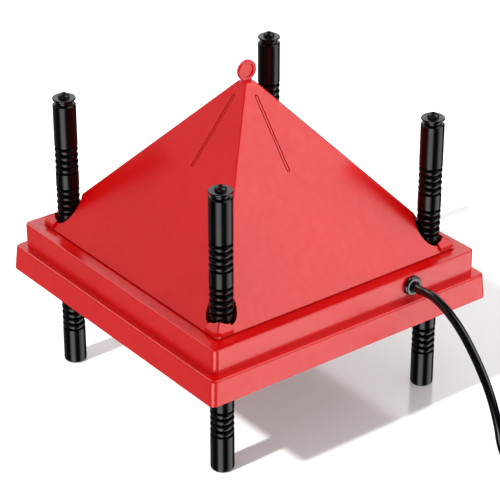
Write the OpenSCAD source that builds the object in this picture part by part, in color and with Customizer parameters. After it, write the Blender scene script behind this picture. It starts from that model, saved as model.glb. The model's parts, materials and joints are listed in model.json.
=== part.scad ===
// Heater plate for a chick brooder: a low two-tier casing on four ribbed legs,
// with a loose pyramid cover on top that keeps birds from roosting on it.
// +Z is up, the feet stand on z = 0 and the casing is centred on the origin.

/* [Casing] */
// Width of the lower tier along its bottom edge
lower_w = 250; // [240:1:270]
// Height of the lower tier
lower_h = 19.5; // [18:0.5:22]
// Lean of each lower wall, from its bottom to its top
lower_draft = 1.5; // [0.5:0.25:2.5]
// Width of the ledge between the two tiers
ledge_w = 7.2; // [5.6:0.2:9]
// Height of the upper tier
upper_h = 19; // [18:0.5:23]
// Radius of the casing's upright corners
casing_corner_r = 4.5; // [3.5:0.5:6]
// Radius along the top edge of each tier
casing_edge_r = 2; // [1:0.25:3]
// Thickness of the casing's walls
casing_wall = 2.5; // [2:0.1:3]
// Thickness of the casing's flat top
deck_t = 3; // [2.5:0.1:3.5]
// Height of the casing's bottom edge above the floor
stand_h = 76; // [70:1:90]

/* [Cover] */
// Width of the flat rim that the casing's top shows around the cover
deck_rim_w = 10.2; // [9:0.2:12]
// Height from the top of the rim to where the four faces would meet
cover_rise = 128; // [110:1:140]
// Height of the upright rim around the base
cover_rim_h = 1.2; // [0.8:0.1:2]
// Thickness of the cover's wall
cover_wall = 2; // [1.6:0.1:2.4]
// Width of the small flat that ends the pyramid
cover_tip_w = 6.4; // [6:0.2:8]
// Width of the groove down the middle of each face
groove_w = 2; // [1.5:0.1:3]
// Depth of that groove
groove_depth = 1; // [0.6:0.1:1.2]
// Level distance from the middle of the cover to the groove's upper end
groove_from = 10.6; // [9:0.2:14]
// Level distance from the middle of the cover to the groove's lower end
groove_to = 48.8; // [40:0.2:60]
// Width of each corner pad, from the corner inwards
pad_w = 14; // [12:0.5:18]
// Height of a corner pad at its outer edge
pad_edge_h = 4.5; // [3:0.25:5.5]
// Radius of a corner pad's outer corner
pad_corner_r = 5; // [3:0.5:7]
// Room between a leg and its hole in the cover
cover_leg_gap = 2.1; // [1.2:0.1:2.4]

/* [Lift tab] */
// Diameter of the tab
tab_d = 16.2; // [14:0.2:20]
// Thickness of the tab at its rim
tab_t = 3; // [2.4:0.2:4]
// Width of the tab's raised rim
tab_rim_w = 1.8; // [1.2:0.1:2.4]
// Depth of the dish on each side of the tab
tab_dish = 0.7; // [0.4:0.1:0.9]
// Width of the neck under the tab
tab_neck_w = 7.4; // [6:0.2:9]
// Height from the pyramid's flat tip to the middle of the tab
tab_rise = 6.2; // [5:0.2:9]

/* [Legs] */
// Diameter of a leg
leg_d = 17; // [15:0.5:19]
// Length of a leg with its cap
leg_len = 218; // [205:0.5:230]
// Distance from the upper tier's wall to the middle of a leg
leg_inset = 24.4; // [23:0.2:26]
// Height of the lowest ring groove above the foot
ring_from = 29; // [24:0.5:34]
// Distance from one ring groove to the next
ring_pitch = 5; // [4.5:0.1:5.2]
// Ring grooves in one group
ring_count = 5; // [4:1:5]
// Distance from the topmost ring groove to the top of the rod
ring_top_gap = 33.5; // [31:0.5:36]
// Groups of ring grooves on a leg
ring_groups = 5; // [4:1:5]
// Width of a ring groove at the leg's surface
ring_w = 2; // [1.4:0.1:2.4]
// Depth of a ring groove
ring_depth = 0.9; // [0.5:0.1:1.2]
// Radius around the foot's edge
foot_r = 1.8; // [1:0.1:3]
// Thickness of a leg's cap
cap_t = 1.7; // [1.4:0.1:2.2]
// Height of the neck between a cap and its leg
cap_neck_h = 3; // [2:0.1:3.4]
// Diameter of that neck
cap_neck_d = 12.5; // [10:0.5:13]
// Diameter of the cap screw's head
cap_screw_head_d = 8.6; // [7.5:0.1:9]
// Height of the cap screw's head
cap_screw_head_h = 3.6; // [2.6:0.1:4]
// Diameter of the cap screw's shank
cap_screw_d = 3.5; // [3:0.1:4]
// Length of the cap screw's shank
cap_screw_len = 16; // [13:0.5:20]

/* [Cord] */
// Diameter of the cord
cord_d = 6.4; // [6:0.1:6.6]
// Diameter of the grommet's flange
grommet_d = 14.8; // [13.5:0.1:15.2]
// Thickness of the grommet's flange
grommet_t = 3; // [2.4:0.1:3]
// Distance of the grommet from the middle of the next leg, along the wall
grommet_leg_gap = 36.4; // [34:0.2:42]
// Distance of the grommet's middle below the casing's top
grommet_drop = 8.6; // [8.5:0.1:9.2]
// Turns in the put-away coil, in two layers
coil_turns = 6.5; // [4.5:1:6.5]
// Radius of the coil's tightest turn
coil_in_r = 27.75; // [26:0.25:32]

/* [Hidden] */
$fn = 48;

// Corners in the order front, left, right, back
corner_signs = [[1, -1], [-1, -1], [1, 1], [-1, 1]];

casing_red = [0.82, 0.16, 0.16];
plate_red = [0.46, 0.08, 0.08];
leg_black = [0.08, 0.08, 0.09];
cord_black = [0.06, 0.06, 0.06];
steel = [0.7, 0.71, 0.73];
brass = [0.78, 0.62, 0.3];

// Every cut runs this far past the face it starts from
overrun = 1;
// Room between flat inner pieces and the walls beside them
board_gap = 0.4;
// Room around a fixed pin or screw in its hole
pin_gap = 0.05;
// Room around a leg in its sleeve
sleeve_gap = 0.4;

// Levels of the casing
tier_z = stand_h + lower_h;
deck_z = tier_z + upper_h;
deck_under_z = deck_z - deck_t;
upper_w = lower_w - 2 * ledge_w;
cover_w = upper_w - 2 * deck_rim_w;
leg_r = leg_d / 2;
leg_at = upper_w / 2 - leg_inset;

// Inside of the casing
lower_in = lower_w / 2 - lower_draft - casing_wall;
upper_in = upper_w / 2 - casing_wall;
ledge_under_z = tier_z - casing_wall;

// Sleeves and the rings that grip the legs
sleeve_wall = 4;
sleeve_r = leg_r + sleeve_gap + sleeve_wall;
grip_t = 2.4;
grip_gap = 0.3;
grip_seat_gap = 0.1;
grip_mid_r = leg_r + grip_gap + grip_t / 2;
grip_z = (stand_h + deck_z) / 2;

// Radiant plate
plate_inset = 1.5;
plate_t = 3;
plate_half = lower_in - board_gap;
plate_z = stand_h + plate_inset;
plate_top_z = plate_z + plate_t;
plate_leg_gap = 0.8;

// Screws through the radiant plate
base_screw_d = 3.5;
base_screw_head_d = 7;
base_screw_head_h = 2;
base_screw_len = 11;
base_screw_tip_gap = 0.5;
boss_r = 4;
boss_at = lower_in - boss_r - plate_inset / 2;
boss_mid_share = 0.36;
boss_mid = boss_mid_share * lower_in;

// Element
foil_t = 0.6;
foil_half = leg_at - sleeve_r - board_gap;
wire_d = 2.4;
wire_runs = 9;
wire_seat_gap = 0.2;
wire_edge = 9;
wire_bend_steps = 6;
cutout_d = 14;
cutout_t = 4.6;
cutout_flange_d = 17;
cutout_flange_t = 0.8;
cutout_room = 2;
blade_w = 4;
blade_t = 0.8;
blade_h = 5;
blade_at = 3.6;
wire_bay = cutout_flange_d + 2 * cutout_room;
wire_step = (2 * foil_half - wire_edge - wire_bay) / (wire_runs - 1);
wire_x = -foil_half + wire_edge;
wire_run_half = foil_half - wire_edge - wire_step / 2;
wire_z = plate_top_z + foil_t + wire_seat_gap + wire_d / 2;
cutout_x = foil_half - wire_bay / 2;

// Insulation
board_t = 12;
board_half = boss_at - boss_r - board_gap;
board_top_z = plate_top_z + board_t;
pocket_h = foil_t + wire_seat_gap + wire_d + board_gap;
pocket_half = foil_half + board_gap;

// Cord entry
cord_r = cord_d / 2;
wall_x = upper_w / 2;
cord_z = deck_z - grommet_drop;
grommet_y = leg_at - grommet_leg_gap;
grommet_collar_rise = 0.6;
grommet_collar_t = 2;
grommet_collar_d = 2 * (deck_under_z - cord_z - board_gap);
grommet_hole_d = grommet_collar_d - 2 * grommet_collar_rise;
grommet_round = 0.8;
grommet_seat_gap = 0.1;
cord_exit_x = wall_x + grommet_t;

// Cord clamp, screwed to two posts under the casing's top
clamp_t = 3.4;
clamp_w = 8;
clamp_grip_share = 0.5;
clamp_top_z = cord_z - clamp_grip_share * cord_r;
clamp_inset = 14;
clamp_x = upper_in - clamp_inset;
clamp_screw_d = 3;
clamp_screw_head_d = 5.6;
clamp_screw_head_h = 1.8;
clamp_screw_len = 8;
post_r = 3.2;
post_at = cord_r + post_r + board_gap;
clamp_half = post_at + post_r;

// Terminal block, under the casing's top in line with the cord
block_l = 22;
block_w = 17;
block_h = 12;
block_round = 1;
cord_tail_len = 22;
supply_lead_len = 9;
tail_x = wall_x - cord_tail_len;
block_x = tail_x - supply_lead_len - block_l / 2;
block_z = deck_under_z - block_h;
pole_at = 4.2;
terminal_screw_d = 4;
terminal_screw_h = 2;
terminal_screw_slot = 0.8;
terminal_screw_at = 6;

// Leads
lead_d = 2;
lead_bend = 4;
lead_gap = 0.3;
lead_at = 1.6;
lead_z = board_top_z + lead_gap + lead_d / 2;
lead_hole_gap = 1;
lead_hole_d = lead_d + 2 * lead_hole_gap;
lead_sides = 8;
lead_drop = 7;

// Leg ends
barrel_h = leg_len - cap_t - cap_neck_h;
ring_group_h = (ring_count - 1) * ring_pitch;
ring_group_pitch = (barrel_h - ring_top_gap - ring_from - ring_group_h) / (ring_groups - 1);
barrel_chamfer = 0.8;
spigot_d = 9;
spigot_h = 6;
spigot_gap = 0.1;
cap_edge = 0.5;
cap_taper_h = 1.3;
cross_w = 1.1;
cross_l_share = 0.62;
cross_depth_share = 0.5;
screw_tip_gap = 1;
head_rim_share = 0.35;

// Cord route in an upright plane: distances from the wall, and how much of the fall is left at each
cord_reach = [
    10.2, 22.2, 34.2, 45.2, 56.2, 66.2, 75.2, 83.2,
    89.7, 94.7, 98.2, 103.7, 111.7, 121.2, 130.2, 138.2
];
cord_fall_shares = [
    1, 1.007, 0.975, 0.922, 0.844, 0.75, 0.647, 0.538,
    0.42, 0.302, 0.189, 0.0955, 0.0315, 0.001, 0, 0
];
cord_sides = 10;
coil_from_x = wall_x + cord_reach[len(cord_reach) - 1];

// Coil: one tube that spirals in on the floor and out again on top of itself
tie_t = 0.8;
tie_w = 7;
tie_gap = 0.3;
tie_round = 3;
tie_bow = tie_w * tie_w / (8 * coil_in_r);
coil_gap = 0.5;
coil_step = cord_d + coil_gap;
coil_rings = 24;
coil_sides = 6;
coil_tail = 20;
coil_half_turns = coil_turns / 2;
coil_out_r = coil_in_r + coil_step * coil_half_turns;
coil_z = tie_t + tie_gap + cord_r;
coil_x = coil_from_x + cord_d;
coil_y = grommet_y + coil_out_r;
coil_climb = 0.5;

// Plug on the coil's outer end, lying on the floor
plug_w = 26;
plug_h = 22;
plug_l = 30;
plug_round = 5;
plug_neck_l = 20;
plug_neck_d0 = 9;
plug_neck_d1 = 13;
plug_nose_l = 6;
plug_nose_inset = 2;
plug_grip_w = 1.6;
plug_grip_depth = 0.8;
plug_grips = 4;
plug_grip_pitch = 4.5;
pin_w = 6.35;
pin_t = 1.5;
pin_l = 17;
pin_at = 6.35;
pin_round = 1.5;
plug_x = coil_x - coil_tail;
plug_y = coil_y + coil_out_r;
plug_z = coil_z + coil_step;
plug_face_x = plug_x - plug_neck_l - plug_l;

// Height of the cover's outer face at a level distance from the middle
function face_z(s) = cover_rim_h + cover_rise * (1 - s / (cover_w / 2));
cover_angle = atan2(cover_rise, cover_w / 2);
cover_tip_z = face_z(cover_tip_w / 2);
cover_hollow_top = cover_tip_z - tab_rise;
cover_level_wall = cover_wall / sin(cover_angle);
cover_in = cover_w / 2 - cover_wall;

// Corner pads, each parted along its ridge by a fine slit
pad_slope_share = 0.63;
pad_slit_w = 0.9;
pad_slit_depth = 1.2;
function pad_z(s) = pad_edge_h + pad_slope_share * cover_rise * (1 - s / (cover_w / 2));

function unit(v) = v / norm(v);
function arc(c, r, a0, a1, steps) = [
    for (k = [0 : steps]) c + r * [cos(a0 + (a1 - a0) * k / steps), sin(a0 + (a1 - a0) * k / steps)]
];
function total(v, k = 0) = k >= len(v) ? 0 : v[k] + total(v, k + 1);
function path_length(p) = total([for (k = [1 : len(p) - 1]) norm(p[k] - p[k - 1])]);

// Rounds every inner corner of a path
function rounded(p, r) = [
    for (k = [0 : len(p) - 1])
        if (k == 0 || k == len(p) - 1) p[k]
        else let (a = p[k] + r * unit(p[k - 1] - p[k]), b = p[k] + r * unit(p[k + 1] - p[k]))
            for (t = [0 : 0.25 : 1]) (1 - t) * (1 - t) * a + 2 * t * (1 - t) * p[k] + t * t * b
];

function along(p, k) = unit(p[min(k + 1, len(p) - 1)] - p[max(k - 1, 0)]);

// Tube along a path; no stretch of the path runs along the reference direction
module tube(p, d, sides, reference) {
    n = len(p);
    points = [
        for (k = [0 : n - 1])
            let (t = along(p, k), u = unit(cross(reference, t)), v = cross(t, u))
                for (j = [0 : sides - 1])
                    p[k] + d / 2 * (cos(360 * j / sides) * u + sin(360 * j / sides) * v)
    ];
    function at(k, j) = k * sides + j % sides;
    walls = [
        for (k = [0 : n - 2]) for (j = [0 : sides - 1]) for (half = [0, 1])
            half == 0 ? [at(k, j), at(k + 1, j), at(k + 1, j + 1)]
                : [at(k, j), at(k + 1, j + 1), at(k, j + 1)]
    ];
    ends = [
        for (j = [1 : sides - 2]) for (end = [0, 1])
            end == 0 ? [at(0, 0), at(0, j), at(0, j + 1)]
                : [at(n - 1, 0), at(n - 1, j + 1), at(n - 1, j)]
    ];
    polyhedron(points, concat(walls, ends));
}

module rounded_square(w, l, r) {
    square([w - 2 * r, l], center = true);
    square([w, l - 2 * r], center = true);
    for (i = [-1, 1], j = [-1, 1]) translate([i * (w / 2 - r), j * (l / 2 - r)]) circle(r);
}

module at_corner(i, z) {
    translate([corner_signs[i].x * leg_at, corner_signs[i].y * leg_at, z]) children();
}

module at_corners(z) {
    for (i = [0 : 3]) at_corner(i, z) children();
}

module at_base_screws(z) {
    for (side = [0 : 3], m = [-1, 1]) rotate(side * 90) translate([boss_at, m * boss_mid, z]) children();
}

// One tier: leaning walls, round upright corners and a round top edge
module tier(w, h, draft) {
    foot_at = w / 2 - casing_corner_r;
    top_at = foot_at - draft;
    hull() {
        for (s = corner_signs) {
            translate([s.x * foot_at, s.y * foot_at, 0]) cylinder(r = casing_corner_r, h = h / 2, $fn = 32);
            translate([s.x * top_at, s.y * top_at, h - casing_edge_r])
                rotate_extrude($fn = 32) translate([casing_corner_r - casing_edge_r, 0])
                    intersection() {
                        circle(casing_edge_r, $fn = 24);
                        square(casing_edge_r);
                    }
        }
    }
}

module block(half, z0, z1) {
    translate([-half, -half, z0]) cube([2 * half, 2 * half, z1 - z0]);
}

module housing() color(casing_red) {
    sleeve_h = deck_under_z - plate_top_z;
    difference() {
        union() {
            difference() {
                union() {
                    translate([0, 0, stand_h]) tier(lower_w, lower_h, lower_draft);
                    translate([0, 0, tier_z - casing_wall]) tier(upper_w, upper_h + casing_wall, 0);
                }
                block(lower_in, stand_h - overrun, ledge_under_z);
                block(upper_in, stand_h - overrun, deck_under_z);
            }
            at_corners(plate_top_z) cylinder(r = sleeve_r, h = sleeve_h + deck_t / 2);
            at_base_screws(plate_top_z)
                cylinder(r = boss_r, h = ledge_under_z - plate_top_z + casing_wall / 2);
            for (m = [-1, 1])
                translate([clamp_x, grommet_y + m * post_at, clamp_top_z])
                    cylinder(r = post_r, h = deck_under_z - clamp_top_z + deck_t / 2);
            clamp_rib();
        }
        at_corners(plate_top_z - overrun)
            cylinder(r = leg_r + sleeve_gap, h = deck_z - plate_top_z + 2 * overrun);
        at_corners(grip_z) grip_seat();
        at_base_screws(plate_top_z - overrun)
            cylinder(d = base_screw_d + 2 * pin_gap,
                h = base_screw_len + base_screw_tip_gap - plate_t + base_screw_head_h + overrun);
        translate([upper_in - overrun, grommet_y, cord_z]) rotate([0, 90, 0])
            cylinder(d = grommet_hole_d + 2 * grommet_seat_gap, h = casing_wall + 2 * overrun);
        for (m = [-1, 1])
            translate([clamp_x, grommet_y + m * post_at, clamp_top_z - overrun])
                cylinder(d = clamp_screw_d + 2 * pin_gap, h = clamp_screw_len - clamp_t + 2 * overrun);
    }
}

// Rib under the casing's top that the clamp presses the cord against
module clamp_rib() {
    difference() {
        translate([clamp_x - clamp_w / 2, grommet_y - cord_r, cord_z])
            cube([clamp_w, cord_d, deck_under_z - cord_z + deck_t / 2]);
        translate([clamp_x - clamp_w, grommet_y, cord_z]) rotate([0, 90, 0])
            cylinder(d = cord_d + 2 * pin_gap, h = 2 * clamp_w);
    }
}

module grip_seat() {
    rotate_extrude() translate([leg_r, -grip_t / 2 - grip_seat_gap])
        square([grip_gap + grip_t + grip_seat_gap, grip_t + 2 * grip_seat_gap]);
}

module grip_ring(i) color(leg_black) at_corner(i, grip_z)
    rotate_extrude() translate([grip_mid_r, 0]) circle(d = grip_t, $fn = 24);

// Solid that has the same outline from the front and from the side
module between_faces(profile) {
    intersection() {
        rotate([90, 0, 0]) linear_extrude(cover_w, center = true) polygon(profile);
        rotate([90, 0, 90]) linear_extrude(cover_w, center = true) polygon(profile);
    }
}

function mirrored(p) = concat(p, [for (k = [len(p) - 1 : -1 : 0]) [-p[k].x, p[k].y]]);

module cover() color(casing_red) translate([0, 0, deck_z]) {
    half = cover_w / 2;
    shell = mirrored([[half, 0], [half, cover_rim_h], [cover_tip_w / 2, cover_tip_z]]);
    hollow_foot_z = face_z(cover_in + cover_level_wall);
    hollow_tip = half * (1 - (cover_hollow_top - cover_rim_h) / cover_rise) - cover_level_wall;
    hollow = mirrored([[cover_in, -overrun], [cover_in, hollow_foot_z], [hollow_tip, cover_hollow_top]]);
    pad = mirrored([[half, 0], [half, pad_edge_h], [half - pad_w, pad_z(half - pad_w)]]);
    difference() {
        union() {
            between_faces(shell);
            intersection() {
                between_faces(pad);
                for (s = corner_signs) translate([s.x * half, s.y * half, 0]) pad_outline(s);
            }
            lift_tab();
        }
        between_faces(hollow);
        at_corners(-overrun) cylinder(r = leg_r + cover_leg_gap, h = cover_rise);
        for (side = [0 : 3]) rotate(side * 90) {
            face_groove();
            pad_slit();
        }
    }
}

// Upright prism over one corner pad, with its outer corner rounded
module pad_outline(s) {
    linear_extrude(cover_rise) mirror([s.x > 0 ? 1 : 0, 0]) mirror([0, s.y > 0 ? 1 : 0]) {
        translate([pad_corner_r, 0]) square([pad_w - pad_corner_r, pad_w]);
        translate([0, pad_corner_r]) square([pad_w, pad_w - pad_corner_r]);
        translate([pad_corner_r, pad_corner_r]) circle(pad_corner_r);
    }
}

module face_groove() {
    drop = groove_depth / cos(cover_angle);
    rotate([90, 0, 0]) linear_extrude(groove_w, center = true) polygon([
        [groove_from, face_z(groove_from) + overrun], [groove_to, face_z(groove_to) + overrun],
        [groove_to, face_z(groove_to) - drop], [groove_from, face_z(groove_from) - drop]
    ]);
}

module pad_slit() {
    from = cover_w / 2 - pad_w;
    to = cover_w / 2 + overrun;
    rotate(45) rotate([90, 0, 0]) linear_extrude(pad_slit_w, center = true) polygon([
        [sqrt(2) * from, pad_z(from) + overrun], [sqrt(2) * to, pad_z(to) + overrun],
        [sqrt(2) * to, pad_z(to) - pad_slit_depth], [sqrt(2) * from, pad_z(from) - pad_slit_depth]
    ]);
}

module lift_tab() {
    tab_z = cover_tip_z + tab_rise;
    difference() {
        translate([0, 0, tab_z]) rotate([90, 0, 90]) linear_extrude(tab_t, center = true) {
            circle(d = tab_d);
            translate([-tab_neck_w / 2, -tab_rise - overrun]) square([tab_neck_w, tab_rise]);
        }
        for (m = [-1, 1]) translate([m * tab_t / 2, 0, tab_z]) rotate([0, 90, 0])
            cylinder(d = tab_d - 2 * tab_rim_w, h = 2 * tab_dish, center = true);
    }
}

module radiant_plate() color(plate_red) difference() {
    block(plate_half, plate_z, plate_top_z);
    at_corners(plate_z - overrun) cylinder(r = leg_r + plate_leg_gap, h = plate_t + 2 * overrun);
    at_base_screws(plate_z - overrun) cylinder(d = base_screw_d + 2 * pin_gap, h = plate_t + 2 * overrun);
    at_base_screws(plate_z)
        cylinder(
            d1 = base_screw_head_d + 2 * pin_gap,
            d2 = base_screw_d + 2 * pin_gap,
            h = base_screw_head_h
        );
}

module base_screws() color(steel) at_base_screws(plate_z) {
    cylinder(d1 = base_screw_head_d, d2 = base_screw_d, h = base_screw_head_h);
    cylinder(d = base_screw_d, h = base_screw_len);
}

module heating_foil() color([0.8, 0.8, 0.78]) block(foil_half, plate_top_z, plate_top_z + foil_t);

// One wire, laid to and fro with a half-round bend at each end of a run
function wire_run(k) =
    let (
        x = wire_x + k * wire_step,
        way = k % 2 == 0 ? 1 : -1,
        middle = [x + wire_step / 2, way * wire_run_half]
    )
        concat(
            [[x, -way * wire_run_half]],
            k == wire_runs - 1 ? [[x, way * wire_run_half]]
                : arc(middle, wire_step / 2, way * 180, 0, wire_bend_steps - 1)
        );
wire_path = [for (k = [0 : wire_runs - 1]) each wire_run(k)];

module heating_wire() color([0.75, 0.35, 0.2])
    tube([for (p = wire_path) [p.x, p.y, wire_z]], wire_d, lead_sides, [0, 0, 1]);

wire_start = [wire_x, -wire_run_half];
wire_end = [wire_x + (wire_runs - 1) * wire_step, wire_run_half];

module insulation_board() color([0.93, 0.92, 0.86]) difference() {
    block(board_half, plate_top_z, board_top_z);
    block(pocket_half, plate_top_z - overrun, plate_top_z + pocket_h);
    at_corners(plate_top_z - overrun) cylinder(r = sleeve_r + board_gap, h = board_t + 2 * overrun);
    translate([cutout_x, 0, plate_top_z - overrun])
        cylinder(d = cutout_flange_d + cutout_room, h = board_t + 2 * overrun);
    for (p = [wire_start, wire_end]) translate([p.x, p.y, plate_top_z - overrun])
        cylinder(d = lead_hole_d, h = board_t + 2 * overrun);
}

module thermal_cutout() color([0.25, 0.22, 0.2]) translate([cutout_x, 0, plate_top_z + foil_t]) {
    cylinder(d = cutout_flange_d, h = cutout_flange_t);
    cylinder(d = cutout_d, h = cutout_t);
    for (m = [-1, 1]) translate([m * blade_at - blade_t / 2, -blade_w / 2, cutout_t - blade_t])
        cube([blade_t, blade_w, blade_h + blade_t]);
}

module at_terminals() {
    for (p = [-1, 1], e = [-1, 1])
        translate([block_x + e * terminal_screw_at, grommet_y + p * pole_at, block_z]) children();
}

module terminal_block() color([0.9, 0.9, 0.88]) difference() {
    translate([block_x, grommet_y, block_z]) linear_extrude(block_h)
        rounded_square(block_l, block_w, block_round);
    at_terminals() translate([0, 0, -overrun])
        cylinder(d = terminal_screw_d + 2 * pin_gap, h = terminal_screw_h + overrun);
}

module terminal_screws() color(brass) at_terminals() difference() {
    cylinder(d = terminal_screw_d, h = terminal_screw_h);
    translate([-terminal_screw_d, -terminal_screw_slot / 2, -overrun])
        cube([2 * terminal_screw_d, terminal_screw_slot, overrun + terminal_screw_h / 2]);
}

module supply_leads() color([0.3, 0.45, 0.75]) for (m = [-1, 1])
    translate([tail_x - supply_lead_len, grommet_y + m * lead_at, cord_z]) rotate([0, 90, 0])
        cylinder(d = lead_d, h = supply_lead_len, $fn = 24);

// Two leads to the cut-out and the wire's far end, and one to the wire's start
module element_leads() color([0.75, 0.25, 0.2]) {
    inner_x = block_x - block_l / 2;
    blade_top_z = plate_top_z + foil_t + cutout_t + blade_h;
    live_y = grommet_y - pole_at;
    return_y = grommet_y + pole_at;
    wire_top_z = wire_z + wire_d / 2;
    turn_x = inner_x - lead_drop;
    over_z = lead_z + lead_d + lead_gap;
    slant = [0.3, 0.5, 0.8];
    live = [
        [inner_x, live_y, cord_z], [turn_x, live_y, cord_z], [turn_x, live_y, over_z],
        [turn_x, lead_drop, over_z], [cutout_x + blade_at, lead_drop, over_z],
        [cutout_x + blade_at, 0, over_z], [cutout_x + blade_at, 0, blade_top_z]
    ];
    link = [
        [cutout_x - blade_at, 0, blade_top_z], [cutout_x - blade_at, 0, lead_z],
        [wire_end.x, 0, lead_z], [wire_end.x, wire_end.y, lead_z], [wire_end.x, wire_end.y, wire_top_z]
    ];
    back = [
        [inner_x, return_y, cord_z], [turn_x - lead_drop, return_y, cord_z],
        [turn_x - lead_drop, return_y, lead_z], [wire_start.x, return_y, lead_z],
        [wire_start.x, wire_start.y, lead_z], [wire_start.x, wire_start.y, wire_top_z]
    ];
    for (p = [live, link, back]) tube(rounded(p, lead_bend / 2), lead_d, lead_sides, slant);
}

module cord_tail() color(cord_black) translate([tail_x, grommet_y, cord_z]) rotate([0, 90, 0])
    cylinder(d = cord_d, h = cord_exit_x - tail_x);

module cord_clamp() color([0.25, 0.25, 0.26]) difference() {
    translate([clamp_x, grommet_y, clamp_top_z - clamp_t]) linear_extrude(clamp_t)
        rounded_square(clamp_w, 2 * clamp_half, block_round);
    translate([clamp_x - clamp_w, grommet_y, cord_z]) rotate([0, 90, 0])
        cylinder(d = cord_d + 2 * pin_gap, h = 2 * clamp_w);
    for (m = [-1, 1]) translate([clamp_x, grommet_y + m * post_at, clamp_top_z - clamp_t - overrun])
        cylinder(d = clamp_screw_d + 2 * pin_gap, h = clamp_t + 2 * overrun);
}

module clamp_screws() color(steel) for (m = [-1, 1])
    translate([clamp_x, grommet_y + m * post_at, clamp_top_z - clamp_t]) {
        cylinder(d = clamp_screw_d, h = clamp_screw_len);
        translate([0, 0, -clamp_screw_head_h]) cylinder(d = clamp_screw_head_d, h = clamp_screw_head_h);
    }

// Flanged bush that snaps into the casing's wall
module cord_grommet() color(leg_black) {
    bore_r = cord_r + pin_gap;
    flange_r = grommet_d / 2;
    outline = concat(
        [[bore_r, -casing_wall - grommet_collar_t], [grommet_collar_d / 2, -casing_wall - grommet_collar_t],
            [grommet_collar_d / 2, -casing_wall], [grommet_hole_d / 2, -casing_wall],
            [grommet_hole_d / 2, 0], [flange_r, 0]],
        arc([flange_r - grommet_round, grommet_t - grommet_round], grommet_round, 0, 90, 4),
        [[bore_r, grommet_t]]
    );
    translate([wall_x, grommet_y, cord_z]) rotate([0, 90, 0]) rotate_extrude() polygon(outline);
}

function ring_outline(z) = [
    [leg_r, z - ring_w / 2], [leg_r - ring_depth, z - ring_w / 4],
    [leg_r - ring_depth, z + ring_w / 4], [leg_r, z + ring_w / 2]
];

// Ribbed rod, bored at the top for the cap's spigot and its screw
module leg(i) color(leg_black) at_corner(i, 0) {
    outline = concat(
        [[0, 0]],
        arc([leg_r - foot_r, foot_r], foot_r, -90, 0, 6),
        [for (g = [0 : ring_groups - 1], k = [0 : ring_count - 1])
            for (p = ring_outline(ring_from + g * ring_group_pitch + k * ring_pitch)) p],
        [[leg_r, barrel_h - barrel_chamfer], [leg_r - barrel_chamfer, barrel_h], [0, barrel_h]]
    );
    difference() {
        rotate_extrude() polygon(outline);
        translate([0, 0, barrel_h - spigot_h - spigot_gap])
            cylinder(d = spigot_d + 2 * spigot_gap, h = spigot_h + spigot_gap + overrun);
        translate([0, 0, leg_len - cap_screw_len - screw_tip_gap])
            cylinder(d = cap_screw_d + 2 * pin_gap, h = cap_screw_len);
    }
}

module leg_cap(i) color(leg_black) at_corner(i, barrel_h) {
    top = cap_neck_h + cap_t;
    hole_r = cap_screw_d / 2 + pin_gap;
    rotate_extrude() polygon([
        [hole_r, -spigot_h], [spigot_d / 2, -spigot_h], [spigot_d / 2, 0], [cap_neck_d / 2, 0],
        [cap_neck_d / 2, cap_neck_h - cap_taper_h], [leg_r, top - cap_edge],
        [leg_r - cap_edge, top], [hole_r, top]
    ]);
}

// Pan head with a cross recess
module leg_screw(i) color(leg_black) at_corner(i, leg_len) {
    head_r = cap_screw_head_d / 2;
    rim_h = head_rim_share * cap_screw_head_h;
    dome_h = cap_screw_head_h - rim_h;
    dome_r = (head_r * head_r + dome_h * dome_h) / (2 * dome_h);
    spread = asin(head_r / dome_r);
    cross_l = cross_l_share * cap_screw_head_d;
    difference() {
        union() {
            translate([0, 0, -cap_screw_len]) cylinder(d = cap_screw_d, h = cap_screw_len);
            rotate_extrude() polygon(concat(
                [[0, 0], [head_r, 0]],
                arc([0, cap_screw_head_h - dome_r], dome_r, 90 - spread, 90, 6)
            ));
        }
        for (a = [0, 90]) rotate(a)
            translate([-cross_l / 2, -cross_w / 2, cap_screw_head_h * (1 - cross_depth_share)])
                cube([cross_l, cross_w, cap_screw_head_h]);
    }
}

cord_path = concat(
    [[cord_exit_x, grommet_y, cord_z]],
    [for (k = [0 : len(cord_reach) - 1])
        [wall_x + cord_reach[k], grommet_y, coil_z + cord_fall_shares[k] * (cord_z - coil_z)]]
);

module power_cord() color(cord_black) tube(cord_path, cord_d, cord_sides, [0, 1, 0]);

function coil_point(t) =
    let (
        r = coil_in_r + coil_step * abs(coil_half_turns - t),
        rise = min(1, max(0, (t - coil_half_turns) / coil_climb + 1 / 2))
    ) [coil_x + r * cos(360 * t - 90), coil_y + r * sin(360 * t - 90), coil_z + coil_step * rise];
coil_turn_points = [for (k = [0 : coil_turns * coil_rings]) coil_point(k / coil_rings)];
coil_path = concat(
    [[coil_from_x, grommet_y, coil_z]],
    coil_turn_points,
    [[plug_x, plug_y, plug_z]]
);

module cord_coil() color(cord_black) tube(coil_path, cord_d, coil_sides, [0, 0, 1]);

// Least room between one turn and the next, and the whole length of the cord
coil_apart = min([
    for (k = [0 : len(coil_turn_points) - 1], m = [k + coil_rings / 2 : 1 : len(coil_turn_points) - 1])
        norm(coil_turn_points[k] - coil_turn_points[m])
]) - cord_d;
echo(coil_least_gap = coil_apart, cord_length = path_length(cord_path) + path_length(coil_path));

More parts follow.
